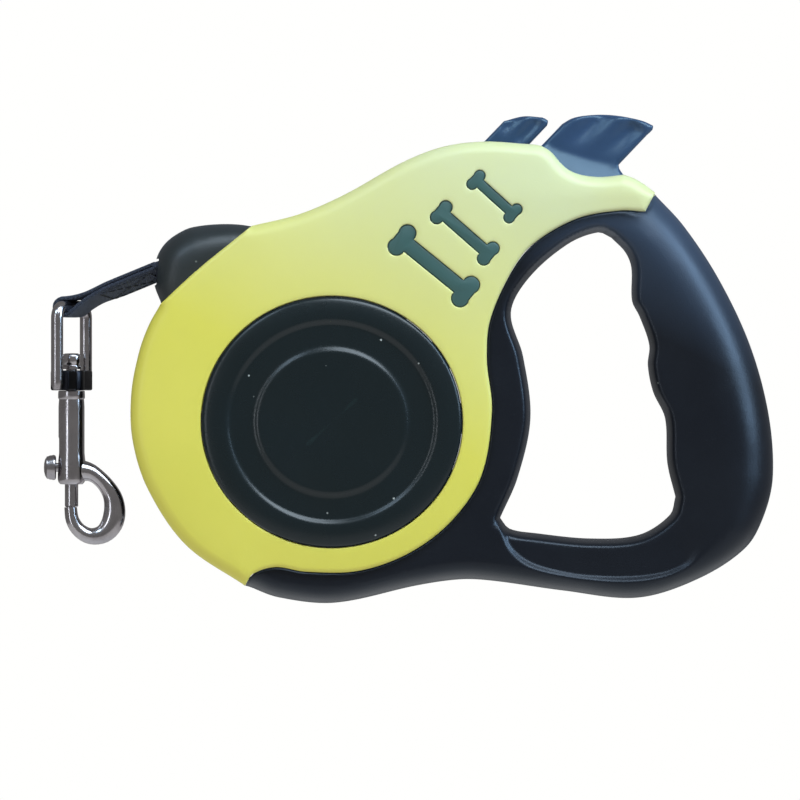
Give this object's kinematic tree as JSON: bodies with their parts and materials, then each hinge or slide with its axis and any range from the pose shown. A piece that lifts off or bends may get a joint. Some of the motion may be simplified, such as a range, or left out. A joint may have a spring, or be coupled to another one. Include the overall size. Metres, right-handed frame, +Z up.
{
  "type": "retractable leash",
  "caption": "Hand-held retractable tape leash: round reel casing, closed finger-grip loop, brake and lock fins, side caps, and a swivelling bolt hook at the tape's end.",
  "frame": {"origin": "middle of the hand grip, on the parting plane between the halves", "axes": "+X back from the tape's mouth to the grip, +Y to the user's right across the casing, +Z up as the leash is held"},
  "size_m": [0.1898, 0.032, 0.127],
  "materials": {
    "case_plastic": "satin yellow-green moulded ABS",
    "grip_plastic": "satin blue-black moulded plastic, soft to the touch",
    "cap_plastic": "smooth black moulded plastic",
    "insert_plastic": "matte dark teal-grey plastic",
    "reel_plastic": "natural white acetal",
    "webbing": "tight woven black nylon tape",
    "nickel": "bright nickel-plated zinc casting",
    "steel": "plain spring and screw steel"
  },
  "bodies": {
    "housing": {"case_left": "case_plastic", "case_right": "case_plastic", "handle_left": "grip_plastic", "handle_right": "grip_plastic", "cap_left": "cap_plastic", "cap_right": "cap_plastic", "bone_insert_left": "insert_plastic", "bone_insert_right": "insert_plastic", "nozzle": "grip_plastic", "arbor": "steel", "tape_run": "webbing", "tape_neck": "webbing", "brake_spring": "steel", "lock_spring": "steel", "case_screw_1": "steel", "case_screw_2": "steel", "case_screw_3": "steel", "case_screw_4": "steel", "case_screw_5": "steel", "case_screw_6": "steel"},
    "reel": {"reel_drum": "reel_plastic", "reel_flange": "reel_plastic", "spring_cover": "reel_plastic", "tape_coil": "webbing", "mainspring": "steel"},
    "leash_end": {"tape_end": "webbing"},
    "eye": {"swivel_eye": "nickel"},
    "snap": {"swivel_rivet": "nickel", "hook_body": "nickel", "bolt_spring": "steel"},
    "bolt": {"hook_bolt": "nickel"},
    "brake": {"brake_button": "cap_plastic"},
    "lock": {"lock_button": "cap_plastic"}
  },
  "joints": [
    {"name": "reel_spin", "type": "hinge", "parent": "housing", "child": "reel", "pos_m": [-0.099, 0, -0.006], "axis": [0, -1, 0], "range_deg": [0, 6750], "stiffness_Nm_per_rad": 0.0005, "springref_deg": -4583.66, "deforming": ["mainspring"]},
    {"name": "tape_pull", "type": "slide", "parent": "housing", "child": "leash_end", "axis": [-0.9248, 0, -0.3805], "range_m": [0, 3], "deforming": ["tape_neck"]},
    {"name": "hook_swing", "type": "hinge", "parent": "leash_end", "child": "eye", "pos_m": [-0.16695, 0, 0.024], "axis": [0.45, 0.893, 0], "range_deg": [-3, 135]},
    {"name": "hook_swivel", "type": "hinge", "parent": "eye", "child": "snap", "pos_m": [-0.16695, 0, 0], "axis": [0, 0, 1], "continuous": true},
    {"name": "bolt_slide", "type": "slide", "parent": "snap", "child": "bolt", "axis": [0, 0, 1], "range_m": [0, 0.0065], "stiffness_N_per_m": 300, "springref_m": -0.01, "deforming": ["bolt_spring"]},
    {"name": "brake_press", "type": "slide", "parent": "housing", "child": "brake", "axis": [-0.6889, 0, -0.7248], "range_m": [0, 0.004], "stiffness_N_per_m": 1200, "springref_m": -0.003, "deforming": ["brake_spring"]},
    {"name": "lock_press", "type": "slide", "parent": "housing", "child": "lock", "axis": [-0.6889, 0, -0.7248], "range_m": [0, 0.003], "stiffness_N_per_m": 1000, "springref_m": -0.002, "deforming": ["lock_spring"]}
  ],
  "couplings": [
    {"joint": "tape_pull", "follows": "reel_spin", "m_per_rad": 0.025464}
  ]
}
